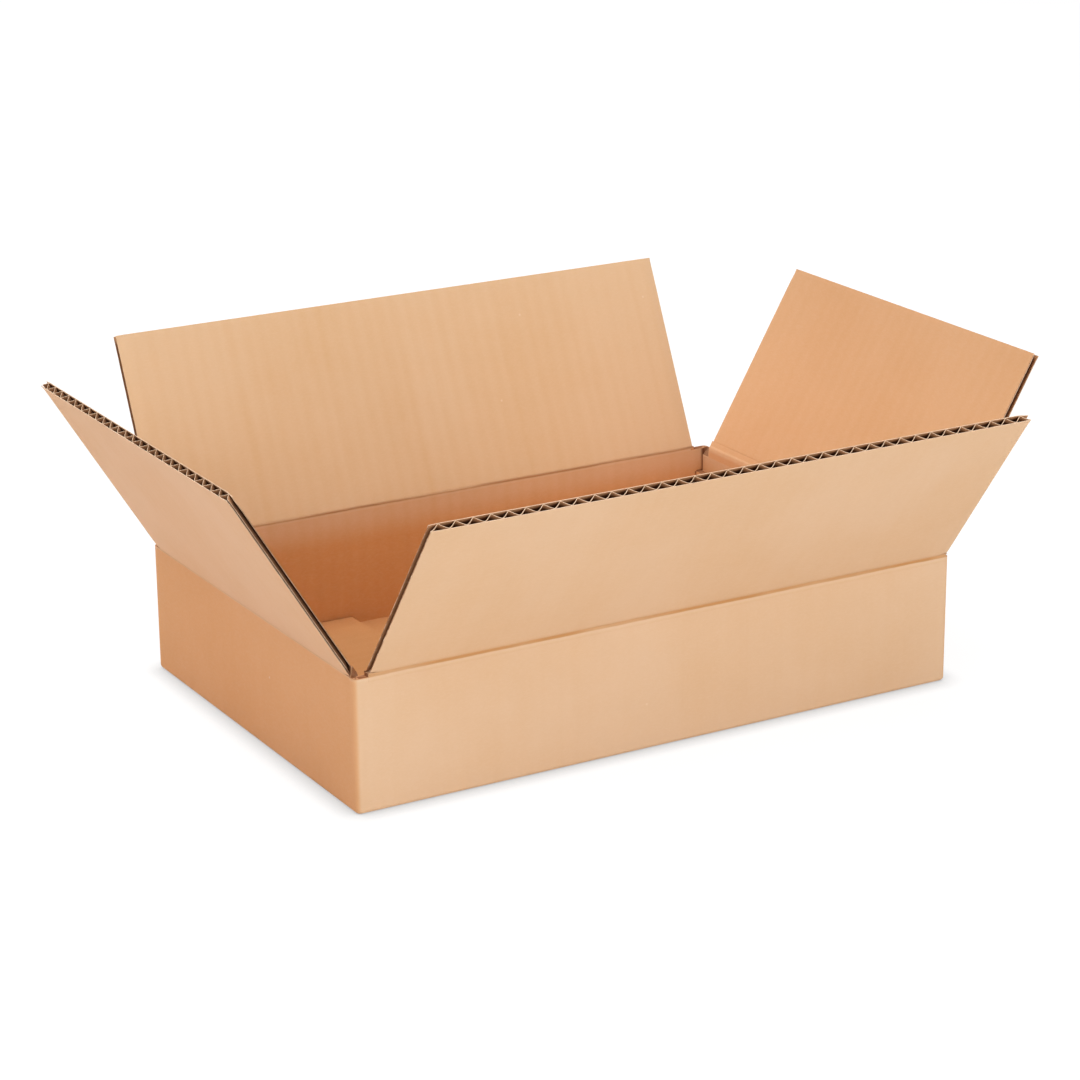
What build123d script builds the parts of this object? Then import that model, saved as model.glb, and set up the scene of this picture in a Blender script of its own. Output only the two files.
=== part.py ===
from build123d import *
import os
from math import ceil, cos, radians, sin, tan

# Open top shipping box, folded from one sheet of corrugated board.
# Origin: middle of the base, on the surface that the box stands on. +X runs along the long
# walls, -Y is the front and +Z is up. All lengths are in millimetres and all angles in degrees.

# The room inside the closed box, which is how such boxes are sized: 12 by 8 by 2 inches
inside_length = 304.8
inside_width = 203.2
inside_depth = 50.8

# The board
board_thickness = 4.0      # face to face
liner = 0.45               # each flat face paper
medium = 0.4               # the wavy paper between the faces
flute_pitch = 8.18         # one full wave
flute_tip = 0.8            # narrow side of a tunnel, next to a wave's crest
crushed_edge = 7.0         # board pressed solid along a crease, measured from the hinge line
corner_radius = 2.5        # rounded upright folds
base_radius = 2.0          # rounded folds along the bottom

# How far the long top flaps stop short of the outer faces of the short walls
front_flap_left_slot = 7.4
front_flap_right_slot = 2.4
back_flap_left_slot = 2.4
back_flap_right_slot = 10.0

# How far the short top flaps stop short of the inner faces of the long walls
short_flap_play = 0.5
glued_corner_trim = 5.5    # cut off the right flap as well, beside the glued corner
slot_end_gap = 0.5         # air between a flap's end and the corner beside its crease

# The top flaps
short_flap_depth = 103.0   # hinge line to free edge
front_lean_angle = 36.0    # how far each flap stands open, outwards from upright
back_lean_angle = 25.0
left_lean_angle = 31.5
right_lean_angle = 30.5
meeting_gap = 0.5          # between the free edges of the two long flaps once closed
layer_gap = 0.3            # between a closed short flap and the long flap over it
hinge_inset = 0.5          # the hinge line's depth below the liner that a fold keeps whole
crease_angle = 45.5        # slope of the crease's faces, which lets a flap turn a quarter turn
hinge_gap = 0.15           # air at the hinge line itself

# The closed bottom and the glued corner
bottom_flap_depth = 102.0  # short bottom flaps, from the outer face of their wall
bottom_slot = 5.0          # each bottom flap's ends, in from the outer faces of the walls
seam_gap = 0.5             # between the free edges of the long bottom flaps
edge_tunnel_depth = 12.0   # open tunnels in the free edges of the short bottom flaps
tab_width = 32.0           # glue tab inside the right wall, at its back corner
tab_top_drop = 12.0        # the tab's upper end, below the top of the wall
tab_taper = 3.0            # the slope at both ends of the tab

os.makedirs("parts", exist_ok=True)

# Worked out from the sizes above
crease_slope = tan(radians(crease_angle))
outer_length = inside_length + 2 * board_thickness
outer_width = inside_width + 2 * board_thickness
floor_height = 2 * board_thickness
wall_height = floor_height + inside_depth + board_thickness - hinge_inset
short_hinge_z = wall_height
long_hinge_z = wall_height + 2 * hinge_inset + layer_gap
long_hinge_out = inside_width / 2 + hinge_inset
short_hinge_out = outer_length / 2 - hinge_inset
long_flap_depth = long_hinge_out - meeting_gap / 2
short_flap_end = inside_width / 2 - short_flap_play

# A tunnel between two waves of the medium
tunnel_height = board_thickness - 2 * liner - medium
tunnel_base = flute_pitch - flute_tip - medium
tunnel_side = Vector((tunnel_base - flute_tip) / 2, tunnel_height).get_angle(Vector(1, 0))


def tunnel_rows(waves, middle):
    """The ends of a board's tunnels, in two rows: on the outer and the inner side of the medium.

    The board lies along X, with the middle of its thickness at the given height."""
    with BuildSketch(Plane.XY, mode=Mode.PRIVATE) as rows:
        with Locations((0, middle + medium / 2)):
            with GridLocations(flute_pitch, board_thickness, waves, 1):
                Trapezoid(tunnel_base, tunnel_height, tunnel_side, rotation=180)
        with Locations((0, middle - medium / 2)):
            with GridLocations(flute_pitch, board_thickness, waves + 1, 1):
                Trapezoid(tunnel_base, tunnel_height, tunnel_side)
    return rows.sketch


def crease_profile(inner_face, gap):
    """The end of a board at a crease, with the hinge line at the origin and the board above it.

    The board is bevelled on both sides of the hinge line, so that it can fold either way."""
    outer_face = inner_face + board_thickness
    with BuildSketch(Plane.XY, mode=Mode.PRIVATE) as profile:
        with BuildLine():
            Polyline(
                (0, gap),
                (outer_face, gap + outer_face * crease_slope),
                (outer_face, crushed_edge),
                (inner_face, crushed_edge),
                (inner_face, gap - inner_face * crease_slope),
                close=True,
            )
        make_face()
    return profile.sketch


def fold(outward, hinge_out, hinge_z, lean, span):
    """A frame on a crease: origin on the hinge line, X along it, Z up the board, Y outwards.

    The span says where the crease starts and ends along its wall."""
    along = outward.cross(Vector(0, 0, 1))
    up_board = outward * sin(radians(lean)) + Vector(0, 0, cos(radians(lean)))
    middle = outward * hinge_out + Vector(abs(along.X), abs(along.Y)) * (sum(span) / 2)
    return Plane(origin=middle + Vector(0, 0, hinge_z), x_dir=along, z_dir=up_board)


def hang_down(crease):
    """The same crease, for the wall that hangs below it."""
    return Plane(origin=crease.origin, x_dir=-crease.x_dir, z_dir=-crease.z_dir)


def crease_end(crease, inner_face, length, gap):
    """Adds the bevelled, crushed end of a board along a crease."""
    across = Plane(origin=crease.origin, x_dir=crease.y_dir, z_dir=crease.x_dir)
    with BuildSketch(across) as end:
        add(crease_profile(inner_face, gap))
    extrude(end.sketch, amount=length / 2, both=True)


def cut_crest(crest, length):
    """Cuts a wall's top edge away along a crease, as far down as the board is crushed."""
    with BuildSketch(crest.offset(-crushed_edge)) as strip:
        Rectangle(length, 2 * board_thickness)
    extrude(strip.sketch, amount=2 * crushed_edge, mode=Mode.SUBTRACT)


def fluted_board(crease, inner_face, length, depth):
    """Adds a flap's open board, from the crushed strip at its crease to its free edge.

    Where a side of the flap cuts through a tunnel, that tunnel is open along the side."""
    middle = inner_face + board_thickness / 2
    waves = 2 * ceil(length / flute_pitch / 2) + 1
    with BuildSketch(crease.offset(crushed_edge)) as section:
        with Locations((0, middle)):
            Rectangle(length, board_thickness)
        add(tunnel_rows(waves, middle), mode=Mode.SUBTRACT)
    extrude(section.sketch, amount=depth - crushed_edge)


front = Vector(0, -1, 0)
back = Vector(0, 1, 0)
left = Vector(-1, 0, 0)
right = Vector(1, 0, 0)
up = Vector(0, 0, 1)

# Hinge lines lie near the inner face on the long walls, so that their flaps close on top, and
# near the outer face on the short walls, so that theirs fold down between the long walls.
long_inner_face = -hinge_inset
short_inner_face = hinge_inset - board_thickness

# Where each flap starts and ends along its wall
front_span = (front_flap_left_slot - outer_length / 2, outer_length / 2 - front_flap_right_slot)
back_span = (back_flap_left_slot - outer_length / 2, outer_length / 2 - back_flap_right_slot)
left_span = (-short_flap_end, short_flap_end)
right_span = (-short_flap_end, short_flap_end - glued_corner_trim)

# Body: four walls, the closed bottom and the glue tab
# The walls are one band, with rounded upright folds and a rounded fold all round the bottom.
with BuildPart() as box_body:
    with BuildSketch(Plane.XY):
        RectangleRounded(outer_length, outer_width, corner_radius)
    extrude(amount=wall_height)
    fillet(box_body.faces().sort_by(Axis.Z)[0].edges(), base_radius)
    with BuildSketch(Plane.XY):
        Rectangle(inside_length, inside_width)
    extrude(amount=wall_height, mode=Mode.SUBTRACT)

    # The long bottom flaps lie on the ground and meet along the middle.
    bottom_length = outer_length - 2 * bottom_slot
    bottom_width = outer_width - 2 * bottom_slot
    with BuildSketch(Plane.XY):
        Rectangle(bottom_length, inside_width)
        Rectangle(bottom_length, seam_gap, mode=Mode.SUBTRACT)
    extrude(amount=board_thickness)

    # The short bottom flaps lie on them, glued down, with a gap between their free edges.
    well_length = outer_length - 2 * bottom_flap_depth
    with BuildSketch(Plane.XY.offset(board_thickness)):
        Rectangle(inside_length, bottom_width)
        Rectangle(well_length, bottom_width, mode=Mode.SUBTRACT)
    extrude(amount=board_thickness)

    # Their free edges show the open ends of the board's tunnels.
    edge_waves = 2 * int(bottom_width / flute_pitch / 2) - 1
    for outward in (left, right):
        free_edge = Plane(origin=outward * well_length / 2, x_dir=up.cross(outward), z_dir=outward)
        with BuildSketch(free_edge) as tunnels:
            add(tunnel_rows(edge_waves, board_thickness * 3 / 2))
        extrude(tunnels.sketch, amount=edge_tunnel_depth, mode=Mode.SUBTRACT)

    # The glue tab is the end of the back wall, folded round the corner and stuck to the inside
    # of the right wall.
    tab_top = wall_height - tab_top_drop
    glued_corner = Vector(inside_length / 2, inside_width / 2)
    tab_face = Plane(origin=glued_corner, x_dir=front, z_dir=left)
    with BuildSketch(tab_face):
        with BuildLine():
            Polyline(
                (0, floor_height),
                (tab_width, floor_height + tab_taper),
                (tab_width, tab_top - tab_taper),
                (0, tab_top),
                close=True,
            )
        make_face()
    extrude(amount=board_thickness)

    # Each wall's top edge is cut back between the slots and gets the profile of its crease.
    for outward, span in ((front, front_span), (back, back_span)):
        crest = fold(outward, long_hinge_out, long_hinge_z, 0, span)
        crest_length = span[1] - span[0] + 2 * slot_end_gap
        cut_crest(crest, crest_length)
        crease_end(hang_down(crest), long_inner_face, crest_length, 0)
    for outward in (left, right):
        crest = fold(outward, short_hinge_out, short_hinge_z, 0, left_span)
        cut_crest(crest, inside_width)
        crease_end(hang_down(crest), short_inner_face, inside_width, 0)

box_body.part.label = "box_body"
export_step(box_body.part, "parts/box_body.step")

# Long top flaps: front and back
for name, outward, lean, span in (
    ("front_flap", front, front_lean_angle, front_span),
    ("back_flap", back, back_lean_angle, back_span),
):
    with BuildPart() as long_flap:
        crease = fold(outward, long_hinge_out, long_hinge_z, lean, span)
        crease_end(crease, long_inner_face, span[1] - span[0], hinge_gap)
        fluted_board(crease, long_inner_face, span[1] - span[0], long_flap_depth)
    long_flap.part.label = name
    export_step(long_flap.part, f"parts/{name}.step")

# Short top flaps: left and right
for name, outward, lean, span in (
    ("left_flap", left, left_lean_angle, left_span),
    ("right_flap", right, right_lean_angle, right_span),
):
    with BuildPart() as short_flap:
        crease = fold(outward, short_hinge_out, short_hinge_z, lean, span)
        crease_end(crease, short_inner_face, span[1] - span[0], hinge_gap)
        fluted_board(crease, short_inner_face, span[1] - span[0], short_flap_depth)
    short_flap.part.label = name
    export_step(short_flap.part, f"parts/{name}.step")
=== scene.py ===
# %% [markdown]
# # A shallow shipping box of corrugated board
# The real box is one sheet of brown board: two flat papers, the liners, glued to a wavy paper
# between them, the medium. The sheet is slotted, creased, glued at one corner and folded into
# a box. Its bottom is shut and its four top flaps stand open. This lesson dresses the packed
# solids of that box. The solids stay where they are, so the box's own sizes are given in
# millimetres and turned into Blender's metres where they are used. The camera, the lamps and
# the floor are given in metres at once.

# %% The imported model
from math import asin, atan2, ceil, cos, degrees, exp, pi, radians, sin, tan

import bmesh
import bpy
from mathutils import Matrix, Vector, noise


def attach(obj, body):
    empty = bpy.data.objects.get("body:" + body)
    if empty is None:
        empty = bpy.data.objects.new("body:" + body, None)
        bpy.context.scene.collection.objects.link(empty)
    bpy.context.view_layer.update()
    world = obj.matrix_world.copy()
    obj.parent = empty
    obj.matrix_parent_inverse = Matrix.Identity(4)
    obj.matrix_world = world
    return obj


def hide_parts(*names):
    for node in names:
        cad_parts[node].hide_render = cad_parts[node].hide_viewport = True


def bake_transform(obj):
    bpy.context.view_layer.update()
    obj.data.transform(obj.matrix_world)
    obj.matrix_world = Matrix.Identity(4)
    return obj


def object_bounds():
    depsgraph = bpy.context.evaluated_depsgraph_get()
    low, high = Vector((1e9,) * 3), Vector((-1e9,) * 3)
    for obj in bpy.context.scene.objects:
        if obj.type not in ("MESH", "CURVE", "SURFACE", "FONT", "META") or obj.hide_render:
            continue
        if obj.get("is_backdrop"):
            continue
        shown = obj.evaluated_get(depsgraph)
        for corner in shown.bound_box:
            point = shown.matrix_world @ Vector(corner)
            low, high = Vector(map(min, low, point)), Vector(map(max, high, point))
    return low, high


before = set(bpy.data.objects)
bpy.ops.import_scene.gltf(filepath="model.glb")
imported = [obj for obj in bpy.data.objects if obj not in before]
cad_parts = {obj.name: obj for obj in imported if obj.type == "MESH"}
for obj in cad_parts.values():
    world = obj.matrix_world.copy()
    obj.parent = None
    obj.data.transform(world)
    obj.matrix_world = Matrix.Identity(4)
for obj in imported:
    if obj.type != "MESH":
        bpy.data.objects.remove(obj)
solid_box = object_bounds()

MM = 0.001
print("solids", sorted(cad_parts), "in", solid_box)

# %% [markdown]
# ## The box's own sizes
# The board is 4 mm thick and its waves are 8.18 mm long. A flap turns about a line half a
# millimetre under one of the board's faces: the inner face on the long walls, whose flaps close
# last, and the outer face on the short walls. The sizes are repeated here because this script
# can't read the source of the solids, and the table of flaps is what every later step reads.
# In that table out and top place the hinge line, depth is how far a flap reaches from it, and
# outer and inner are its distances from the board's faces. A dip is how far the crease draws a
# face in, and the knocks say how flat the two ends of the free edge have been squashed, where
# nought is not at all and one is quite flat.

# %% Sizes and creases
BOARD, INSET, PITCH = 4.0, 0.5, 8.18
INSIDE = Vector((304.8, 203.2, 50.8))
OUTSIDE = INSIDE + Vector((2 * BOARD, 2 * BOARD, 0))
BEVEL, GAP = radians(45.5), 0.15   # the slopes of a crease, and the air at its hinge line

LONG_WALL = dict(out=102.1, top=63.6, depth=101.85, outer=BOARD - INSET, outer_dip=0.8, inner_dip=0.1)
SHORT_WALL = dict(out=155.9, top=62.3, depth=103.0, outer=INSET, outer_dip=0.1, inner_dip=0.15)
FLAPS = {}
for name, wall, outward, lean, span, knocks in (
    ("front_flap", LONG_WALL, (0, -1, 0), 36.0, (-149.0, 154.0), (0.2, 0.0)),
    ("back_flap", LONG_WALL, (0, 1, 0), 25.0, (-154.0, 146.4), (0.1, 0.05)),
    ("left_flap", SHORT_WALL, (-1, 0, 0), 31.5, (-101.1, 101.1), (0.1, 0.0)),
    ("right_flap", SHORT_WALL, (1, 0, 0), 30.5, (-101.1, 95.6), (0.1, 0.0)),
):
    FLAPS[name] = dict(wall, inner=BOARD - wall["outer"], outward=Vector(outward), lean=lean,
                       span=span, length=span[1] - span[0], knocks=knocks)


def crease_frame(flap, lean):
    """A matrix whose X runs along a crease, Y out of the board's outer face and Z up the board."""
    outward, up = flap["outward"], Vector((0, 0, 1))
    along = outward.cross(up)
    board = outward * sin(radians(lean)) + up * cos(radians(lean))
    normal = outward * cos(radians(lean)) - up * sin(radians(lean))
    middle = Vector((abs(along.x), abs(along.y), 0)) * (sum(flap["span"]) / 2)
    matrix = Matrix((along, normal, board)).transposed().to_4x4()
    matrix.translation = outward * flap["out"] + middle + up * flap["top"]
    return matrix


for name, flap in FLAPS.items():
    print(name, "hinges at", tuple(round(v, 1) for v in crease_frame(flap, 0).translation))

# %% [markdown]
# ## The camera
# The camera was fitted to the box's edges in the photograph: a long lens, a little above the
# box and to its left, rolled by half a degree. A long lens keeps far edges nearly parallel.
# Its three axes are written out rather than aimed with a constraint, so nothing moves later.

# %% Camera
camera_data = bpy.data.cameras.new("camera")
camera_data.sensor_width = 36.0
camera_data.lens = 107.148
camera_data.clip_end = 20.0
camera = bpy.data.objects.new("camera", camera_data)
bpy.context.scene.collection.objects.link(camera)
looking = Vector((0.47236, 0.82205, -0.31797)).normalized()
sideways = Vector((0.86566, -0.50057, -0.00815)).normalized()
upwards = sideways.cross(looking).normalized()
sideways = looking.cross(upwards)
placing = Matrix((sideways, upwards, -looking)).transposed().to_4x4()
placing.translation = Vector((-0.72076, -1.24687, 0.55048))
camera.matrix_world = placing
bpy.context.scene.camera = camera
print("camera looks down by", round(degrees(atan2(-looking.z, looking.to_2d().length)), 1), "degrees")

# %% [markdown]
# ## Writing node trees as Python
# A wave in the board is easier to read as `sin(x * turns)` than as three boxes with threads
# between them. `Wire` wraps one output of a node and gives it Python's operators, so that each
# sum or product adds its Math node. `Tree.node` makes every other node: its settings first,
# because they decide which sockets it has, and then the values or threads of its sockets.

# %% Wires and trees
class Wire:
    """One output of a node, with Python's operators on it."""

    def __init__(self, tree, socket):
        self.tree, self.socket = tree, socket

    def math(self, operation, *values):
        return self.tree.node("ShaderNodeMath", {"operation": operation}, dict(enumerate(values)))

    def __add__(self, other): return self.math("ADD", self, other)
    def __radd__(self, other): return self.math("ADD", other, self)
    def __sub__(self, other): return self.math("SUBTRACT", self, other)
    def __rsub__(self, other): return self.math("SUBTRACT", other, self)
    def __mul__(self, other): return self.math("MULTIPLY", self, other)
    def __truediv__(self, other): return self.math("DIVIDE", self, other)
    def __pow__(self, other): return self.math("POWER", self, other)
    def __abs__(self): return self.math("ABSOLUTE", self)
    def __gt__(self, other): return self.math("GREATER_THAN", self, other)
    def __lt__(self, other): return self.math("LESS_THAN", self, other)
    def sine(self): return self.math("SINE", self)
    def arcsine(self): return self.math("ARCSINE", self)
    def exponent(self): return self.math("EXPONENT", self)
    def at_least(self, other): return self.math("MAXIMUM", self, other)
    def at_most(self, other): return self.math("MINIMUM", self, other)

    def rise(self, low, high):
        """Nought below low and one above high, turning smoothly in between."""
        return self.tree.node("ShaderNodeMapRange", {"interpolation_type": "SMOOTHSTEP"},
                              {"Value": self, "From Min": low, "From Max": high})

    def bell(self, middle, width):
        """One at the middle, fading smoothly to nought one width to each side."""
        return 1.0 - abs(self - middle).rise(0.0, width)

    def within(self, low, high):
        """One between low and high, and nought outside."""
        return (self > low) * (self < high)

    def other(self, name):
        """Another output of the same node."""
        return Wire(self.tree, self.socket.node.outputs[name])


class Tree:
    """A node tree that grows by one node for each call."""

    def __init__(self, tree):
        self.tree = tree

    def node(self, kind, settings=None, values=None):
        """Adds a node and gives back its first output. A list of wires shares one socket."""
        made = self.tree.nodes.new(kind)
        for key, value in (settings or {}).items():
            setattr(made, key, value)
        for key, value in (values or {}).items():
            slot = made.inputs[key] if isinstance(key, int) else next(
                s for s in made.inputs if s.name == key and s.enabled)
            for one in value if isinstance(value, list) else [value]:
                if isinstance(one, Wire):
                    self.tree.links.new(one.socket, slot)
                else:
                    slot.default_value = one
        outputs = [s for s in made.outputs if s.enabled]
        return Wire(self, outputs[0]) if outputs else None

    def blend(self, amount, first, second):
        """A colour between two colours."""
        return self.node("ShaderNodeMix", {"data_type": "RGBA"},
                         {"Factor": amount, "A": first, "B": second})

    def vector(self, x, y, z):
        return self.node("ShaderNodeCombineXYZ", {}, {"X": x, "Y": y, "Z": z})

    def parts(self, vector):
        """The three numbers of a vector."""
        x = self.node("ShaderNodeSeparateXYZ", {}, {"Vector": vector})
        return x, x.other("Y"), x.other("Z")

    def noise(self, place, scale, detail=3.0, roughness=0.55):
        """Clouds with about as many lumps to the unit as the scale says."""
        return self.node("ShaderNodeTexNoise", {},
                         {"Vector": place, "Scale": scale, "Detail": detail, "Roughness": roughness})


def linear(red, green, blue):
    """A colour as a screen shows it, turned into the light that Blender reckons with."""
    return tuple((v / 255 / 12.92) if v < 10.4 else ((v / 255 + 0.055) / 1.055) ** 2.4
                 for v in (red, green, blue)) + (1.0,)


print("kraft paper in linear light", [round(v, 3) for v in linear(229, 188, 148)])

# %% [markdown]
# ## Light and floor
# The photograph has the flat, even light of a catalogue: pure white all round, soft light from
# the front right and above, and only a thin grey shadow where the box touches the ground. One
# pale world gives the even part and large soft lamps give the front its brightness. For the
# camera alone the world is white, so the background takes no light from the object.

# %% World and lamps
WORLD_LIGHT = 0.06
LAMP_AIM = Vector((0, 0, 0.05))
world = bpy.data.worlds.new("studio")
bpy.context.scene.world = world
world.use_nodes = True
world.node_tree.nodes.clear()
sky = Tree(world.node_tree)
seen = sky.node("ShaderNodeLightPath")
straight = seen.at_least(seen.other("Is Glossy Ray")).at_least(seen.other("Is Transmission Ray"))
glow = sky.node("ShaderNodeBackground", {}, {
    "Color": (1.0, 1.0, 1.0, 1.0), "Strength": straight * (1.0 - WORLD_LIGHT) + WORLD_LIGHT})
sky.node("ShaderNodeOutputWorld", {}, {"Surface": glow})


def soft_lamp(name, place, size, power):
    """A square lamp that faces the box, with its size in metres and its power in watts."""
    lamp = bpy.data.lights.new(name, "AREA")
    lamp.size, lamp.energy = size, power
    holder = bpy.data.objects.new(name, lamp)
    bpy.context.scene.collection.objects.link(holder)
    holder.location = place
    holder.rotation_euler = (LAMP_AIM - Vector(place)).to_track_quat("-Z", "Y").to_euler()


soft_lamp("front_lamp", (0.75, -2.4, 0.6), 1.6, 36.0)
soft_lamp("top_lamp", (0.0, 0.0, 2.4), 1.6, 25.5)
soft_lamp("left_lamp", (-1.7, -0.2, 1.5), 1.6, 19.5)
soft_lamp("fill_lamp", (-1.0, -1.9, 1.2), 1.2, 7.0)
soft_lamp("back_lamp", (0.0, 2.0, 1.6), 1.6, 22.0)
bpy.context.scene.view_settings.view_transform = "Standard"

# %% [markdown]
# The floor is one large white sheet. Seen by the camera it glows a little under its own shade,
# so it reads as white paper, and an occlusion node darkens it where the box is within a few
# millimetres. Every other ray meets plain white paper, which bounces light up at the walls.

# %% Floor
SHADE_REACH = 0.011                      # how near the box has to be to darken the floor
SHADED_GLOW, OPEN_GLOW = 0.50, 0.93      # the floor's own light beside the box and away from it
floor_mesh = bpy.data.meshes.new("floor")
floor_mesh.from_pydata([(-4, -4, 0), (4, -4, 0), (4, 4, 0), (-4, 4, 0)], [], [(0, 1, 2, 3)])
floor = bpy.data.objects.new("floor", floor_mesh)
bpy.context.scene.collection.objects.link(floor)
paper_white = bpy.data.materials.new("white_floor")
paper_white.use_nodes = True
paper_white.node_tree.nodes.clear()
ground = Tree(paper_white.node_tree)
seen = ground.node("ShaderNodeLightPath")
near = ground.node("ShaderNodeAmbientOcclusion", {"samples": 8}, {"Distance": SHADE_REACH})
shade = ground.node("ShaderNodeMapRange", {}, {
    "Value": near.other("AO"), "From Min": 0.3, "From Max": 1.0,
    "To Min": SHADED_GLOW, "To Max": OPEN_GLOW})
plain = ground.node("ShaderNodeBsdfDiffuse", {}, {"Color": (0.9, 0.9, 0.9, 1.0)})
faint = ground.node("ShaderNodeBsdfDiffuse", {}, {"Color": (0.14, 0.14, 0.14, 1.0)})
lit = ground.node("ShaderNodeEmission", {}, {"Color": (1.0, 1.0, 1.0, 1.0), "Strength": shade})
both = ground.node("ShaderNodeAddShader", {}, {0: faint, 1: lit})
mixed = ground.node("ShaderNodeMixShader", {}, {0: seen, 1: plain, 2: both})
ground.node("ShaderNodeOutputMaterial", {}, {"Surface": mixed})
floor_mesh.materials.append(paper_white)
floor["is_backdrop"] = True
print("floor", tuple(round(v, 1) for v in floor.dimensions))

# %% [markdown]
# ## Kraft paper
# Kraft liner is long brown fibres, laid mostly across the waves. Close up it shows soft clouds
# where the fibres lie thicker, a fine grain, a few dark and pale specks, and very faint stripes
# where the waves press through from behind. It is quite matt. A photograph of paper would
# repeat and can't follow a fold, so layers of noise do it, read from the board's own place:
# along the waves, across the board and up the flutes. One function paints all the papers.

# %% Paper
PAPER = linear(226, 189, 153)
PAPER_OCHRE = linear(219, 172, 124)
PAPER_PALE = linear(240, 212, 184)
# the next three colours are painted shade and light: painted shade on the short walls' outside,
# painted light on the short flaps' outside, painted shade inside the box
SIDE_WALL_SHADE = linear(231, 171, 122)
SHORT_FLAP_LIGHT = linear(237, 192, 155)
INSIDE_SHADE = linear(219, 160, 105)
BROWN = linear(158, 102, 58)
# the deep brown is painted shade deep in the tunnels
TUNNEL_SHADE = linear(88, 45, 17)
CLOUD_SHADE = (0.93, 0.85, 0.72, 1.0)     # what thick fibres take from the colour
WAVES = 2 * pi / (PITCH * MM)             # a sine's angle for each metre along the waves


def paper(tree, along, across, up, tint=PAPER, stripes=1.0, ridges=0.1):
    """Kraft paper at a place on the board: its colour, its relief in metres and its roughness."""
    place = tree.vector(along, across, up)
    drift = tree.noise(place, 13.0, 2.0, 0.5)                                       # 8 cm clouds
    cloud = tree.noise(place, 70.0, 3.0, 0.6)                                       # 15 mm clouds
    grain = tree.noise(tree.vector(along * 0.4, across, up), 1500.0, 2.0, 0.7)      # fibres
    streak = tree.noise(tree.vector(along, across * 0.2, up * 0.05), 130.0, 2.0, 0.6)
    wave = (along * WAVES + (streak - 0.5) * 0.9).sine() * ridges

    shift = drift.rise(0.36, 0.66) * 0.34 + (cloud - 0.5) * 0.4 + wave * 0.1
    shift = shift + ((streak - 0.44) * stripes).at_least(0.0)
    darker = tree.node("ShaderNodeMix", {"data_type": "RGBA", "blend_type": "MULTIPLY"}, {
        "Factor": 1.0, "A": tint, "B": CLOUD_SHADE})
    colour = tree.blend(shift, tint, darker)
    colour = tree.blend(((grain - 0.5) * 0.35 + 0.03).at_least(0.0), colour, PAPER_PALE)

    # one lump in twenty-odd holds a dark speck, and one in thirty-odd a pale one
    speck = tree.node("ShaderNodeTexVoronoi", {}, {"Vector": place, "Scale": 95.0})
    chosen = tree.parts(speck.other("Color"))[0]
    colour = tree.blend(speck.rise(0.07, 0.02) * (chosen > 0.955) * 0.45, colour, BROWN)
    colour = tree.blend(speck.rise(0.08, 0.02) * (chosen < 0.03) * 0.6, colour, PAPER_PALE)

    relief = wave * (0.01 * MM) + (grain - 0.5) * (0.012 * MM) + (cloud - 0.5) * (0.04 * MM)
    return colour, relief, 0.84 + cloud * 0.08 + grain * 0.06


def finish(name, paint):
    """A matt material whose colour, relief and roughness come from one painting function."""
    material = bpy.data.materials.new(name)
    material.use_nodes = True
    material.node_tree.nodes.clear()
    tree = Tree(material.node_tree)
    colour, relief, rough = paint(tree)
    bump = tree.node("ShaderNodeBump", {}, {"Strength": 1.0, "Distance": 1.0, "Height": relief})
    shader = tree.node("ShaderNodeBsdfPrincipled", {}, {
        "Base Color": colour, "Roughness": rough, "Normal": bump, "Specular IOR Level": 0.25})
    tree.node("ShaderNodeOutputMaterial", {}, {"Surface": shader})
    return material


for label, colour in (("plain", PAPER), ("ochre", PAPER_OCHRE), ("pale", PAPER_PALE)):
    print(label, "paper", [round(v, 2) for v in colour[:3]])

# %% [markdown]
# ## One sheet, one pattern
# The real box is one sheet, so its clouds and fibres run on from a wall into its flap. To get
# that, each flap's points remember where they would be if the flap stood straight up. The walls
# read Object coordinates and the flaps read the attribute called unfolded, and both hold places
# in the same frame. So one class can work out from a place which way the waves run there, which
# side of the board it is on, and whether it is on a long wall, a short wall or the floor.

# %% A place on the sheet
OUTER, INNER = OUTSIDE / 2, INSIDE / 2             # the walls' faces, from the middle of the box
FLOOR_TOP, WELL_END = 2 * BOARD, 54.4              # the short bottom flaps: top and free edges
TAB_FACE, TAB_TOP, NEAR_TAB = 148.4, 50.3, 60.0    # the glue tab, and a line short of its end
LONG_CREASE, SHORT_CREASE = LONG_WALL["top"] * MM, SHORT_WALL["top"] * MM


class Spot:
    """A place on the sheet, and one or nought for each part of the box that it may be on."""

    def __init__(self, tree, place):
        self.x, self.y, self.z = x, y, z = tree.parts(place)
        self.far_x, self.far_y = far_x, far_y = abs(x), abs(y)
        self.on_long = on_long = far_y > (INNER.y - 0.2) * MM
        self.on_short = on_short = (far_x > (INNER.x - 0.3) * MM) * (1.0 - on_long)
        on_floor = (z < (FLOOR_TOP + 0.6) * MM) * (1.0 - on_long) * (1.0 - on_short)
        turned = on_short.at_least(on_floor * (far_x > (WELL_END - 0.2) * MM))
        self.along = x * (1.0 - turned) + y * turned
        self.across = y * (1.0 - turned) + x * turned
        past_middle = far_x > (OUTER.x - BOARD / 2) * MM
        self.outer = past_middle.at_least(far_y > (OUTER.y - BOARD / 2) * MM)
        self.inner = 1.0 - self.outer


def unfolded_place(tree):
    """Where a point of a flap would be if the flap stood straight up."""
    return tree.node("ShaderNodeAttribute", {"attribute_name": "unfolded"}).other("Vector")


print("creases", round(LONG_CREASE / MM, 1), "and", round(SHORT_CREASE / MM, 1), "mm up")

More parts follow.
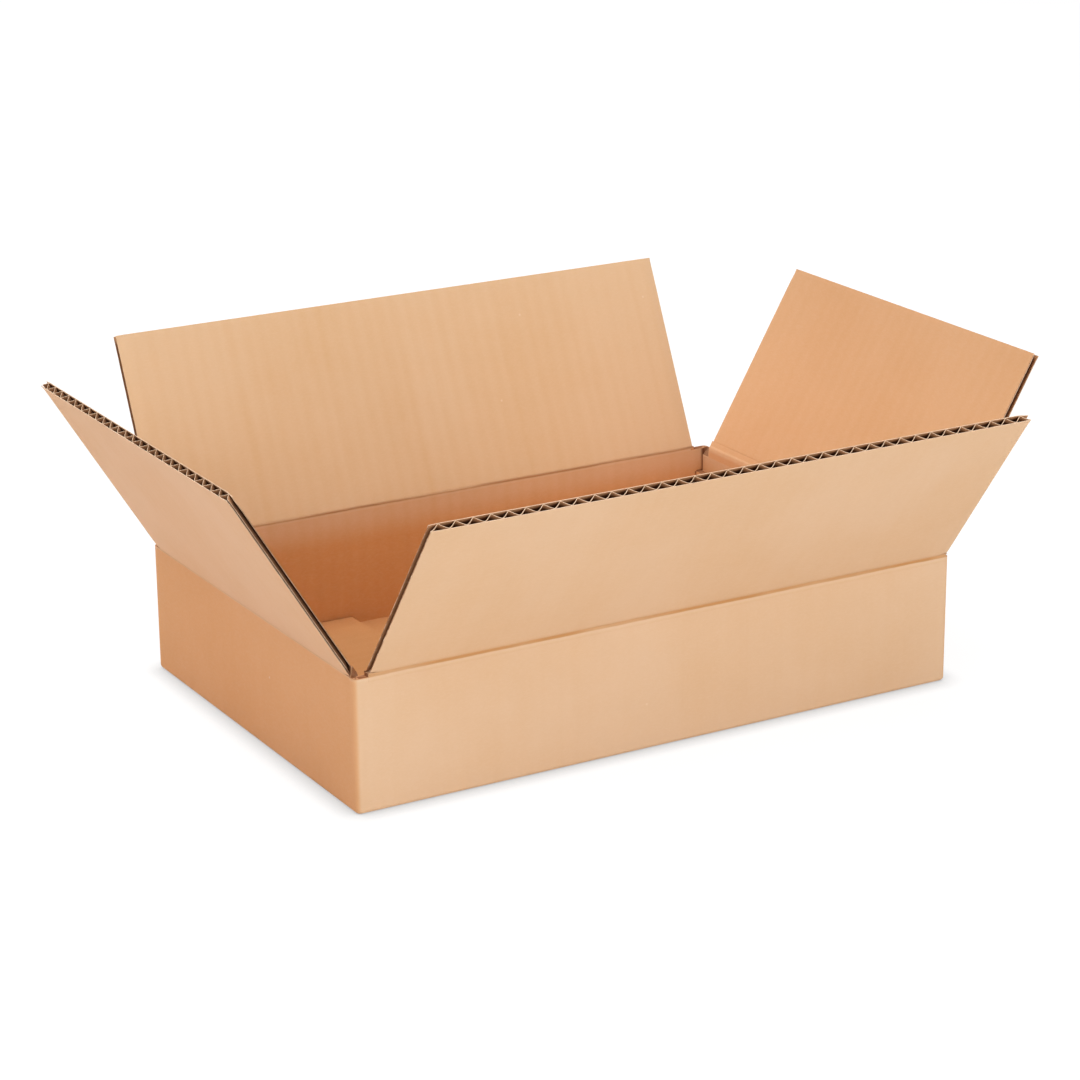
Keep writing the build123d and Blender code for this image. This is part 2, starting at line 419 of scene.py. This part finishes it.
# %% [markdown]
# Walls and flaps both wear kraft paper with paint at their shared creases. Outside, an ochre
# band of painted shade lies above the line, where the flap's face curves in, a pale painted
# highlight just under it on the long walls, and on it a brown line that is partly worn paper and
# partly painted shade. Inside, a long crease gets a brown score, partly scored paper and partly
# painted shade, and a short one a faint painted highlight along its ridge.

# %% Painting the creases
# the ochre is painted shade above the outer crease line; the brown is partly wear, partly painted
# shade
CREASE_SHADE_OCHRE, CREASE_BROWN = linear(214, 162, 100), linear(196, 140, 84)


def paint_board(tree, spot, tint):
    """Kraft paper in the given tint, with painted shade and highlights and partly worn lines at the
    creases.
    """
    on_long, outer, inner = spot.on_long, spot.outer, spot.inner
    ridges = inner * 0.5 + on_long * inner * 0.35 + 0.1
    stripes = on_long * inner * 0.3 + 0.35
    colour, relief, rough = paper(tree, spot.along, spot.across, spot.z, tint, stripes, ridges)

    wander = tree.noise(tree.vector(spot.along, spot.across * 4.0, 0.0), 55.0, 2.0) - 0.5
    # this noise varies the crease lines' wear and their painted shade along each crease
    wear_and_shade = tree.noise(tree.vector(spot.along, spot.across * 4.0, 2.0), 21.0, 2.0).rise(0.3, 0.62)
    crease = on_long * (LONG_CREASE - SHORT_CREASE) + SHORT_CREASE
    rise = spot.z - crease + wander * (0.7 * MM)
    # painted shade: an ochre band just above the outer crease line, where the flap's face curves in
    shade_above = (1.0 - rise.rise(0.8 * MM, 4.8 * MM)) * (rise > 0.0) * outer * (on_long * 0.5 + 0.1)
    colour = tree.blend(shade_above, colour, CREASE_SHADE_OCHRE)
    # painted highlight: a pale rim on the long walls just under the outer crease line
    rim_highlight = rise.bell(-1.9 * MM, 1.3 * MM) * outer * on_long * 0.22
    colour = tree.blend(rim_highlight, colour, PAPER_PALE)
    # a brown line on the outer crease: partly worn paper, partly painted shade in the pleat
    line = (1.0 - (abs(rise) - on_long * (0.9 * MM)).rise(0.15 * MM, 0.65 * MM)) * outer
    colour = tree.blend(line * (wear_and_shade * 0.4 + 0.5) * (on_long * 0.6 + 0.4), colour, CREASE_BROWN)
    # inside a long crease: a brown score, partly scored paper, partly painted shade
    score_and_shade = rise.bell(0.0, 0.9 * MM) * inner * on_long
    colour = tree.blend(score_and_shade * (wear_and_shade * 0.3 + 0.5), colour, BROWN)
    # inside a short crease: a faint painted highlight along the ridge
    ridge_highlight = rise.bell(0.3 * MM, 1.5 * MM) * inner * (1.0 - on_long)
    colour = tree.blend(ridge_highlight * 0.15, colour, PAPER_PALE)
    return colour, relief, rough


print("crease marks", [round(v, 2) for v in CREASE_SHADE_OCHRE[:3]], [round(v, 2) for v in CREASE_BROWN[:3]])

# %% [markdown]
# The inside of the flaps is a little darker than their outside, and the outside of the short
# flaps is painted paler and cooler, as painted light from the floor. The walls are painted
# warmer at the short sides and browner inside below the top rim, as painted shade, and have
# marks of their own: the upright folds, partly rubbed and partly painted shade, painted shade
# along the foot, the brown cut faces of the bevels and of the glue tab, the tab's deepened as
# painted shade, dark lines of painted shade where two walls meet inside, and the ends of the
# slots, where the blade has cut across the waves and the tunnels are painted dark as shade.

# %% Painting walls and flaps
WALL_PAPER = linear(228, 192, 157)
LONG_INSIDE, SHORT_INSIDE = linear(227, 191, 152), linear(227, 177, 132)
# the second colour is painted shade for the walls' inner corners
EDGE_BROWN, CORNER_SHADE = linear(134, 82, 48), linear(112, 62, 34)
# the slots' hollow colour is painted shade for the tunnels in their cut ends
SLOT_TUNNEL_SHADE, SLOT_PAPER = linear(142, 86, 50), linear(212, 154, 110)
SLOT_X, SLOT_Y = 145.0, 100.0                 # the slots lie out beyond these
BEVEL_FOOT = SHORT_WALL["top"] - (BOARD - INSET)


def paint_flaps(tree):
    """The liners of the four flaps."""
    spot = Spot(tree, unfolded_place(tree))
    tint = tree.blend(spot.on_short * spot.inner, PAPER, SHORT_INSIDE)
    tint = tree.blend((1.0 - spot.on_short) * spot.inner, tint, LONG_INSIDE)
    # painted light: the short flaps' outer faces painted paler and cooler, as lit from the floor below
    tint = tree.blend(spot.on_short * spot.outer, tint, SHORT_FLAP_LIGHT)
    return paint_board(tree, spot, tint)


def paint_walls(tree):
    """The four walls, the bottom and the glue tab."""
    spot = Spot(tree, tree.node("ShaderNodeTexCoord").other("Object"))
    x, y, z, far_x, far_y = spot.x, spot.y, spot.z, spot.far_x, spot.far_y
    # painted shade: the walls' inner faces and the bottom are painted browner, fading out towards the
    # top rim
    below = 1.0 - z.rise(44.0 * MM, 61.0 * MM) * 0.8
    inside = spot.inner * z.within((BOARD - 0.1) * MM, 62.0 * MM) * below
    tint = tree.blend(inside, WALL_PAPER, INSIDE_SHADE)
    # painted shade: the short walls' outer faces painted warmer and darker than the long ones
    side_shade = far_x.rise((OUTER.x - 2.0) * MM, (OUTER.x - 0.4) * MM)
    tint = tree.blend(side_shade, tint, SIDE_WALL_SHADE)
    colour, relief, rough = paint_board(tree, spot, tint)

    # the upright folds, a little ochre: partly rubbed paper, partly painted shade where a fold turns
    # from one wall to the next; and painted shade along the foot, where the walls meet the floor
    folded = (far_x.rise((OUTER.x - 2.6) * MM, (OUTER.x - 0.8) * MM)
              * far_y.rise((OUTER.y - 2.6) * MM, (OUTER.y - 0.8) * MM))
    colour = tree.blend(folded * 0.3, colour, PAPER_OCHRE)
    foot = 1.0 - z.rise(0.3 * MM, 2.4 * MM)
    colour = tree.blend(foot * 0.3, colour, PAPER_OCHRE)

    # the bevels of the short walls and the cut edge of the glue tab, in the brown of cut board;
    # the tab's edge is also painted shade, since the tab lies in shadow
    between_walls = (INNER.y + 0.1) * MM
    bevel = far_x.within((INNER.x + 0.1) * MM, (OUTER.x - 0.2) * MM) * (far_y < between_walls)
    colour = tree.blend(bevel * (z > BEVEL_FOOT * MM) * 0.8, colour, EDGE_BROWN)
    tab_edge_shade = x.within((TAB_FACE + 0.2) * MM, (INNER.x - 0.2) * MM)
    tab_edge_shade = tab_edge_shade * y.within(NEAR_TAB * MM, between_walls)
    tab_edge_shade = tab_edge_shade * z.within((FLOOR_TOP + 0.2) * MM, (TAB_TOP + 0.7) * MM)
    colour = tree.blend(tab_edge_shade * 0.75, colour, EDGE_BROWN)

    # painted shade: the dark line where two walls meet inside, which steps in where the glue tab lies
    tab_gap_shade = x.bell(TAB_FACE * MM, 1.2 * MM) * (z < (TAB_TOP + 0.2) * MM)
    inner_corner_shade = x.bell(INNER.x * MM, 1.7 * MM).at_least(tab_gap_shade)
    inner_corner_shade = inner_corner_shade.at_least(x.bell(-INNER.x * MM, 1.4 * MM)) * spot.inner * spot.on_long
    colour = tree.blend(inner_corner_shade * 0.8, colour, CORNER_SHADE)

    # the ends of the slots, cut across the waves: pale paper, with the tunnels between painted
    # dark as painted shade
    depth = (OUTER.x * MM - far_x).at_most(OUTER.y * MM - far_y)
    swing = ((far_x + far_y) * WAVES).sine() * (1.3 * MM)
    from_middle = depth - BOARD / 2 * MM
    medium = 1.0 - abs(depth - swing - BOARD / 2 * MM).rise(0.2 * MM, 0.5 * MM)
    papers = medium.at_least(abs(from_middle).rise(1.4 * MM, 1.7 * MM))
    slot_end = (z > (SHORT_WALL["top"] - 0.1) * MM) * (far_x > SLOT_X * MM) * (far_y > SLOT_Y * MM)
    return tree.blend(slot_end, colour, tree.blend(papers, SLOT_TUNNEL_SHADE, SLOT_PAPER)), relief, rough


walls = finish("kraft_walls_painted_light_and_shade", paint_walls)
flap_paper = finish("kraft_flaps_painted_light_and_shade", paint_flaps)
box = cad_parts["box_body"]
box.data.materials.clear()
box.data.materials.append(walls)
print("box_body wears", walls.name)

# %% [markdown]
# ## Cut edges and the wavy paper
# A blade leaves the cut ends of the papers pale and a little fuzzy where it cuts across the
# flutes. Along the sides of a flap, where it cuts with them, the ends look thin and brown, with
# a few torn fibres; on the short flaps the inner liner's cut end is painted dark, as painted
# shade of the tunnel beside it. The medium is a thinner, browner paper, its brown partly
# painted shade, and little light reaches it: the medium and the backs of the liners are painted
# darker a few millimetres into the tunnels, as painted shade.

# %% Cut and wavy papers
CUT_PAPER, CUT_BROWN = linear(236, 204, 174), linear(156, 104, 66)
# the cut liner colour is painted shade beside the tunnels at the short flaps' sides
CUT_LINER_SHADE, CUT_MIDDLE, CRUSHED = linear(104, 64, 38), linear(210, 176, 148), linear(128, 80, 48)
# the medium's brown is partly its own tone, partly painted shade for the tunnels
WAVY_BROWN_AND_SHADE = linear(198, 148, 106)
# how much painted shade lies deep in a tunnel
DARKEST = 0.93                                               # deep in a tunnel
FREE_EDGE = (SHORT_WALL["top"] + SHORT_WALL["depth"]) * MM   # with the flap straight up
STRIP_START, STRIP_END = 64.5, 69.0                          # where the pressed strip fades out


def paint_cut(tree):
    """The cut ends of the flaps' papers."""
    x, y, z = tree.parts(unfolded_place(tree))
    colour, relief, rough = paper(tree, x, y, z, CUT_PAPER, 0.0)
    fuzz = tree.noise(tree.vector(x, y, z), 650.0, 2.0)
    side = 1.0 - z.rise(FREE_EDGE - 1.6 * MM, FREE_EDGE - 0.6 * MM)
    torn = tree.noise(tree.vector(x, y, z * 0.6), 330.0, 3.0, 0.7)
    colour = tree.blend(fuzz.rise(0.55, 0.8) * 0.4, colour, BROWN)
    colour = tree.blend(side * (0.9 - torn.rise(0.44, 0.62) * 0.7), colour, CUT_BROWN)

    # on the short flaps the inner liner's cut end is painted dark, as painted shade of the tunnel
    # beside it, and the board's middle pale
    far_x, liner_end = abs(x), (INNER.x + 0.6) * MM
    on_short = side * (far_x > (INNER.x - 0.2) * MM) * (abs(y) < (INNER.y - 0.1) * MM)
    colour = tree.blend(on_short * (far_x < liner_end) * 0.9, colour, CUT_LINER_SHADE)
    middle = on_short * far_x.within(liner_end, (OUTER.x - 0.5) * MM)
    colour = tree.blend(middle * (0.5 + torn * 0.5), colour, CUT_MIDDLE)

    # beside the crease the board is pressed solid
    crushed = side * (1.0 - z.rise(STRIP_START * MM, STRIP_END * MM))
    colour = tree.blend(crushed * 0.8, colour, CRUSHED)
    return colour, relief + fuzz * (0.1 * MM), rough


def paint_medium(tree):
    """The wavy paper and the backs of the liners, painted darker inside the tunnels as painted shade.
    """
    x, y, z = tree.parts(unfolded_place(tree))
    inwards = tree.node("ShaderNodeAttribute", {"attribute_name": "inwards"}).other("Fac")
    colour, relief, rough = paper(tree, x, y, z, WAVY_BROWN_AND_SHADE, 0.0)
    by_side = 1.0 - z.rise(FREE_EDGE - 5.0 * MM, FREE_EDGE - 1.0 * MM)
    # painted shade: a little at every opening, more at the sides, deepening into the tunnels
    dim = by_side * ((x < (0.2 - INNER.x) * MM) * 0.6 + 0.08) + 0.05
    dark = dim + inwards.rise(0.2 * MM, 3.2 * MM) * (DARKEST - dim)
    return tree.blend(dark, colour, TUNNEL_SHADE), relief, rough


cut_paper = finish("cut_paper", paint_cut)
medium_paper = finish("wavy_paper_and_tunnel_shade", paint_medium)
print("flap papers", [m.name for m in (flap_paper, cut_paper, medium_paper)])

# %% [markdown]
# ## Corrugated board from a node tree
# Waves that repeat by a rule are work for Geometry Nodes. The tree makes three sheets from
# flat grids: a straight liner on each face and a medium lifted into a wave. Everything that
# differs from flap to flap is an input with a name: sizes, papers, dips, and how the board has
# been cut and handled.

# %% The tree's inputs
LINER_START, MEDIUM_START = 0.3, 1.3    # where the papers start, up from the hinge line
ROWS, KNEE_ROW = 30, 3                  # rows of a liner, and the one on the corner of its bevel
DIP_REACH = 3.2                         # how far up the board the crease draws its faces in
board_group = bpy.data.node_groups.new("corrugated_board", "GeometryNodeTree")
SOCKETS = {}
for label, value in (
    ("Length", 300.0), ("Depth", 100.0), ("Outer Face", 3.5), ("Inner Face", 0.5),
    ("Outer Dip", 0.8), ("Inner Dip", 0.1), ("Liner", 0.32), ("Medium", 0.28), ("Pitch", PITCH),
    ("Shift", -PITCH / 4), ("Ragged", 0.22), ("Side Pinch", 0.28), ("Knocked Start", 0.1),
    ("Knocked End", 0.1), ("Seed", 1.0),
):
    socket = board_group.interface.new_socket(label, in_out="INPUT", socket_type="NodeSocketFloat")
    socket.default_value = value
    SOCKETS[label] = socket.identifier
board_group.interface.new_socket("Geometry", in_out="OUTPUT", socket_type="NodeSocketGeometry")
board = Tree(board_group)
given = board.node("NodeGroupInput")
want = {label: given.other(label) for label in SOCKETS}
print("corrugated_board takes", list(SOCKETS))

# %% [markdown]
# Each sheet is a grid whose points are moved to where its paper runs. Glue and pressure make
# the real wave straighter on its flanks than a sine, and flatter where it meets the outer
# liner, so the sine is sharpened. Towards the crease the liners run together down the bevel and
# the waves flatten, as if pressed by the creasing rule. The rows crowd towards both ends, where
# the board bends most, and one of them lies on the corner of the bevel.

# %% Where the papers run
CROWDING = 0.86                         # how strongly the rows crowd
CREST, SHARPNESS = 0.22, 0.985          # how the sine is flattened above and straightened


def full_face(side, up):
    """How far a face of the board stands from the hinge line, above its bevel."""
    return want[side + " Face"] - want[side + " Dip"] * ((up / DIP_REACH) ** 2 * -1.0).exponent()


def face_at(side, up):
    """The same, with the bevel."""
    return full_face(side, up).at_most((up - GAP) / tan(BEVEL))


def crowded(share):
    """A share from nought to one whose steps are smaller near both ends."""
    return share - (share * (2 * pi)).sine() * (CROWDING / (2 * pi))


def height_of(layer, share):
    """How far up the board a row of a layer lies."""
    if layer == "medium":
        return crowded(share) * (want["Depth"] - MEDIUM_START) + MEDIUM_START
    side, knee = layer.capitalize(), KNEE_ROW / (ROWS - 1)
    corner = want[side + " Face"] * tan(BEVEL) + GAP
    for _ in range(3):   # the dip moves the bevel's corner a little, and three rounds settle it
        corner = full_face(side, corner) * tan(BEVEL) + GAP
    low = (share / knee).at_most(1.0)
    high = crowded(((share - knee) / (1.0 - knee)).at_least(0.0))
    return low * (corner - LINER_START) + high * (want["Depth"] - corner) + LINER_START


def paper_at(layer, along, up):
    """Where a layer lies across the board, and how thick its paper is."""
    outer, inner = face_at("Outer", up), face_at("Inner", up)
    if layer == "outer":
        return outer - want["Liner"], want["Liner"]
    if layer == "inner":
        return want["Liner"] - inner, want["Liner"]
    tall = ((outer + inner - want["Liner"] * 2.0 - want["Medium"]) / 2.0).at_least(0.0)
    bend = ((along + want["Shift"]) * (2 * pi) / want["Pitch"]).sine()
    bend = bend + (1.0 - bend * bend) * CREST
    bend = (bend * SHARPNESS).arcsine() / asin(SHARPNESS)
    return bend * tall + (outer - inner) / 2.0, want["Medium"]


print("rows crowd by", CROWDING, "and row", KNEE_ROW, "of", ROWS, "lies on the bevel's corner")

# %% [markdown]
# A blade leaves the free edge a little uneven and pinches the papers together where it cuts,
# most of all at the sides, and the corners of a used flap get knocked in. Each sheet then gets
# its paper's thickness by extruding its faces, joining the turned-over first layer beneath and
# merging their rims, so it is closed.

# %% The tree's sheets
COLUMNS = {"outer": 4.0, "inner": 4.0, "medium": 18.0}       # columns of a grid for each wave
MEDIUM_ROWS = 14
EDGE_REACH, SIDE_REACH = 3.0, 4.5       # how far in the cut edges and sides are disturbed
KNOCK_ALONG, KNOCK_DOWN = 6.0, 9.0      # how far a knock reaches from its corner
EDGE_PINCH = 0.06
MERGE_REACH = 0.002


def handled(layer, along, across, up):
    """A place on the board, moved by the blade and by knocks."""
    from_edge = want["Depth"] - up
    number = {"outer": 1.0, "inner": 2.0, "medium": 3.0}[layer]
    cut = board.noise(board.vector(along * MM, want["Seed"], number), 420.0, 3.0) * want["Ragged"]
    edge = 1.0 - from_edge.rise(0.0, EDGE_REACH)
    start_end = 1.0 - (want["Length"] / 2.0 + along).rise(0.0, KNOCK_ALONG)
    far_end = 1.0 - (want["Length"] / 2.0 - along).rise(0.0, KNOCK_ALONG)
    knock = start_end * want["Knocked Start"] + far_end * want["Knocked End"]
    knock = knock * (1.0 - from_edge.rise(0.0, KNOCK_DOWN))
    pinch = edge * board.noise(board.vector(along * MM, want["Seed"], 9.0), 60.0, 2.0) * EDGE_PINCH
    side_cut = 1.0 - (want["Length"] / 2.0 - abs(along)).rise(0.0, SIDE_REACH)
    pinch = pinch + side_cut * (1.0 - edge * 0.6) * want["Side Pinch"]
    centre = (want["Outer Face"] - want["Inner Face"]) / 2.0
    across = (across - centre) * (1.0 - pinch) + centre
    across = across + (want["Outer Face"] - want["Liner"] - across).at_least(0.0) * knock
    return board.vector(along, across, up - edge * cut)


def sheet_of(layer):
    """One closed sheet of the board's paper, with its cut rims in the cut paper's material."""
    grid = board.node("GeometryNodeMeshGrid", {}, {
        "Size X": want["Length"], "Size Y": want["Depth"],
        "Vertices X": want["Length"] / want["Pitch"] * COLUMNS[layer] + 2.0,
        "Vertices Y": MEDIUM_ROWS if layer == "medium" else ROWS})
    along, flat, _ = board.parts(board.node("GeometryNodeInputPosition"))
    up = height_of(layer, flat / want["Depth"] + 0.5)
    across, thick = paper_at(layer, along, up)
    shaped = board.node("GeometryNodeSetPosition", {}, {
        "Geometry": grid, "Position": handled(layer, along, across, up)})
    if layer == "medium":
        half = board.node("ShaderNodeVectorMath", {"operation": "SCALE"}, {
            "Vector": board.node("GeometryNodeInputNormal"), "Scale": want["Medium"] * -0.5})
        shaped = board.node("GeometryNodeSetPosition", {}, {"Geometry": shaped, "Offset": half})
    if layer == "outer":
        shaped = board.node("GeometryNodeFlipFaces", {}, {"Mesh": shaped})
    raised = board.node("GeometryNodeExtrudeMesh", {"mode": "FACES"}, {
        "Mesh": shaped, "Offset Scale": thick, "Individual": False})
    under = board.node("GeometryNodeFlipFaces", {}, {"Mesh": shaped})
    top = board.node("GeometryNodeSetMaterial", {}, {
        "Geometry": raised, "Material": medium_paper if layer == "medium" else flap_paper})
    top = board.node("GeometryNodeSetMaterial", {}, {
        "Geometry": top, "Selection": raised.other("Side"), "Material": cut_paper})
    under = board.node("GeometryNodeSetMaterial", {}, {"Geometry": under, "Material": medium_paper})
    whole = board.node("GeometryNodeJoinGeometry", {}, {"Geometry": [top, under]})
    return board.node("GeometryNodeMergeByDistance", {}, {"Geometry": whole, "Distance": MERGE_REACH})


joined = board.node("GeometryNodeJoinGeometry", {}, {
    "Geometry": [sheet_of(layer) for layer in ("outer", "inner", "medium")]})
smooth = board.node("GeometryNodeSetShadeSmooth", {"domain": "FACE"}, {
    "Geometry": joined, "Shade Smooth": True})
crisp = board.node("GeometryNodeInputMeshEdgeAngle") > radians(40.0)
smooth = board.node("GeometryNodeSetShadeSmooth", {"domain": "EDGE"}, {
    "Geometry": smooth, "Selection": crisp, "Shade Smooth": False})
real = board.node("GeometryNodeRealizeInstances", {}, {"Geometry": smooth})
board.node("NodeGroupOutput", {}, {0: real})
print("corrugated_board has", len(board_group.nodes), "nodes")

# %% [markdown]
# ## The four flaps
# The same tree makes all four flaps; only its inputs differ. It is evaluated once for each and
# turned into a plain mesh, whose points first remember their unfolded place and are then
# carried from the flap's own frame to where the flap stands. The modifier goes, and the plain
# piece stands in for the flap's solid and moves with its body.

# %% Flaps
def corrugated(name, **inputs):
    """A plain mesh from the board's tree, in millimetres, in the flap's own frame."""
    seed = bpy.data.meshes.new(name)
    holder = bpy.data.objects.new(name, seed)
    bpy.context.scene.collection.objects.link(holder)
    growing = holder.modifiers.new("board", "NODES")
    growing.node_group = board_group
    for label, value in inputs.items():
        growing[SOCKETS[label.replace("_", " ")]] = value
    bpy.context.view_layer.update()
    ready = holder.evaluated_get(bpy.context.evaluated_depsgraph_get())
    plain = bpy.data.meshes.new_from_object(ready)
    holder.modifiers.remove(growing)
    holder.data = plain
    bpy.data.meshes.remove(seed)
    plain.name = name
    for index in reversed([k for k, paper_slot in enumerate(plain.materials) if paper_slot is None]):
        plain.materials.pop(index=index)
    return holder


def remember(mesh, places, inwards):
    """Stores each point's unfolded place and its distance from a cut edge, both in metres."""
    spots = mesh.attributes.new("unfolded", "FLOAT_VECTOR", "POINT")
    spots.data.foreach_set("vector", [value * MM for place in places for value in place])
    depths = mesh.attributes.new("inwards", "FLOAT", "POINT")
    depths.data.foreach_set("value", [inward * MM for inward in inwards])


def settle(piece, matrix):
    """Carries a mesh made in millimetres to its place in metres; its object stays at the origin."""
    piece.data.transform(Matrix.Scale(MM, 4) @ matrix)
    piece.data.update()


for number, (name, flap) in enumerate(FLAPS.items()):
    piece = corrugated(
        name + "_board", Length=flap["length"], Depth=flap["depth"], Outer_Face=flap["outer"],
        Inner_Face=flap["inner"], Outer_Dip=flap["outer_dip"], Inner_Dip=flap["inner_dip"],
        Knocked_Start=flap["knocks"][0], Knocked_End=flap["knocks"][1], Seed=3.0 + number)
    upright = crease_frame(flap, 0)
    points = [vertex.co for vertex in piece.data.vertices]
    remember(piece.data, [upright @ point for point in points],
             [min(flap["length"] / 2 - abs(point.x), flap["depth"] - point.z) for point in points])
    settle(piece, crease_frame(flap, flap["lean"]))
    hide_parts(name)
    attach(piece, name)
    print(piece.name, len(piece.data.polygons), "faces", [m.name for m in piece.data.materials])

# %% [markdown]
# ## The folded paper in the creases
# At a crease the solids leave a wedge of air on each side of the hinge line, so that a flap can
# turn. On the real box the papers run on through the crease: they pucker into a thin pleat on
# the side that is folded shut and stretch round on the other. Each wedge gets one closed piece
# whose skin carries on both boards' faces, shaped for the flap's present lean. For its paint, a
# point near the wall takes its place on the wall and a point near the flap its place on the
# upright flap. Its skin is reckoned by angle about the hinge line, because that is how the flap
# turns.

# %% Folds
TUCK, SKIN_TUCK = 0.005, 0.004    # how far a fold stays back from the boards beside and over it
OVERHANG = 0.94                   # how much longer a fold is than its flap
SECTION = 2.0                     # the distance between two rings of a fold
SPINE = 0.1                       # how far its inmost line stands from the hinge line


def skins(angle, reach, turned, dip):
    """The faces of wall and flap carried on, as distances from the hinge line at an angle."""
    over = max(angle - turned, 0.0)
    face = reach
    for _ in range(5):
        face = reach - dip * exp(-((face * tan(over) / DIP_REACH) ** 2))
    return reach / cos(min(angle, 0.0)), face / cos(over)


def bend_angles(reach, turned, dip, steps):
    """The angles about the hinge line at which a fold has points, from the wall to the flap."""
    corner = reach * tan(BEVEL) + GAP
    for _ in range(3):
        face = reach - dip * exp(-((corner / DIP_REACH) ** 2))
        corner = face * tan(BEVEL) + GAP
    first, last = -BEVEL + TUCK / reach, turned + atan2(corner, face) - TUCK / reach
    return [first + (last - first) * step / steps for step in range(steps + 1)], (first, last)


def waver(along, rate, seed, layer):
    """A slow, smooth change along a crease, between about minus one and one."""
    return noise.noise(Vector((along * rate, seed, layer)))


def skinned(name, rings):
    """A closed mesh through rings of points, with a smooth skin and flat ends."""
    shape = bmesh.new()
    rings = [[shape.verts.new(p) for p in ring] for ring in rings]
    count = len(rings[0])
    for near_ring, far_ring in zip(rings, rings[1:]):
        for k in range(count):
            after = (k + 1) % count
            face = shape.faces.new((near_ring[k], near_ring[after], far_ring[after], far_ring[k]))
            face.smooth = 0 < k < count - 1
    for ring in (rings[0], rings[-1]):
        shape.faces.new(ring).material_index = 1
    bmesh.ops.recalc_face_normals(shape, faces=shape.faces)
    for edge in shape.edges:
        edge.smooth = all(face.smooth for face in edge.link_faces)
    mesh = bpy.data.meshes.new(name)
    shape.to_mesh(mesh)
    shape.free()
    mesh.materials.append(flap_paper)
    mesh.materials.append(cut_paper)
    return mesh


def fold_piece(name, flap, side, pleat_depth, pleat_width, steps, seed):
    """The paper inside one crease, on its outer or inner side, and the two ends of its bend."""
    sign = 1 if side == "outer" else -1
    reach, dip = flap[side], flap[side + "_dip"]
    turned = radians(flap["lean"]) * -sign
    angles, ends = bend_angles(reach, turned, dip, steps)
    meeting = sum(ends) / 2
    if sign > 0:
        faces = [(angle, *skins(angle, reach, turned, dip)) for angle in angles]
        meeting = next(angle for angle, wall, leaf in faces if leaf >= wall)
    sections = ceil(flap["length"] / SECTION)
    length = flap["length"] + OVERHANG
    rings, places = [], []
    for section in range(sections + 1):
        along = -length / 2 + length * section / sections
        sway = waver(along, 0.03, seed, 0.3) * 0.4 + waver(along, 0.3, seed, 4.0) * 0.1
        deep = pleat_depth * (1.0 + 0.4 * waver(along, 0.08, seed, 7.0))
        ring = [(along, SPINE * cos(meeting) * sign, SPINE * sin(meeting))]
        places.append(Vector(ring[0]))
        for angle in angles:
            wall, leaf = skins(angle, reach, turned, dip)
            radius = max(wall, leaf)
            away = (angle - meeting) * radius - sway
            radius = radius - deep * exp(-((away / pleat_width) ** 2)) - SKIN_TUCK
            ring.append((along, radius * cos(angle) * sign, radius * sin(angle)))
            if turned > 0:
                laid = min(angle, 0.0) + max(angle - turned, 0.0)
            else:
                laid = angle - turned if leaf >= wall else angle
            places.append(Vector((along, radius * cos(laid) * sign, radius * sin(laid))))
        rings.append(ring)
    upright = crease_frame(flap, 0)
    mesh = skinned(name, rings)
    remember(mesh, [upright @ place for place in places], [0.0] * len(places))
    piece = bpy.data.objects.new(name, mesh)
    bpy.context.scene.collection.objects.link(piece)
    settle(piece, upright)
    at_skin, in_metres = reach / cos(BEVEL), Matrix.Scale(MM, 4) @ upright
    return piece, [in_metres @ (Vector((0, cos(a) * sign, sin(a))) * at_skin) for a in ends]


WIDE_PLEATS = {"outer": (0.25, 0.8), "inner": (0.1, 0.9)}     # how deep and how wide a pleat is
NARROW_PLEAT = (0.03, 0.3)
for number, (name, flap) in enumerate(FLAPS.items()):
    for side in ("outer", "inner"):
        wide = flap[side] > BOARD / 2
        pleat_depth, pleat_width = WIDE_PLEATS[side] if wide else NARROW_PLEAT
        piece, (start, end) = fold_piece(f"{name}_{side}_fold", flap, side, pleat_depth,
                                         pleat_width, 40 if wide else 10, 11.0 + number * 3)
        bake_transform(piece)
        print(piece.name, len(piece.data.polygons), "faces, bent over",
              round((end - start).length / MM, 2), "mm")

# %% [markdown]
# ## Sizes and the end
# The dressed box must stay inside the solids' box, because other tools place it by those
# numbers. Both boxes are printed at the end.

# %% Sizes
dressed_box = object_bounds()
plain = lambda corners: [[round(float(v), 6) for v in corner] for corner in corners]
{"solids": plain(solid_box), "dressed": plain(dressed_box)}
print("solids", plain(solid_box), "dressed", plain(dressed_box))
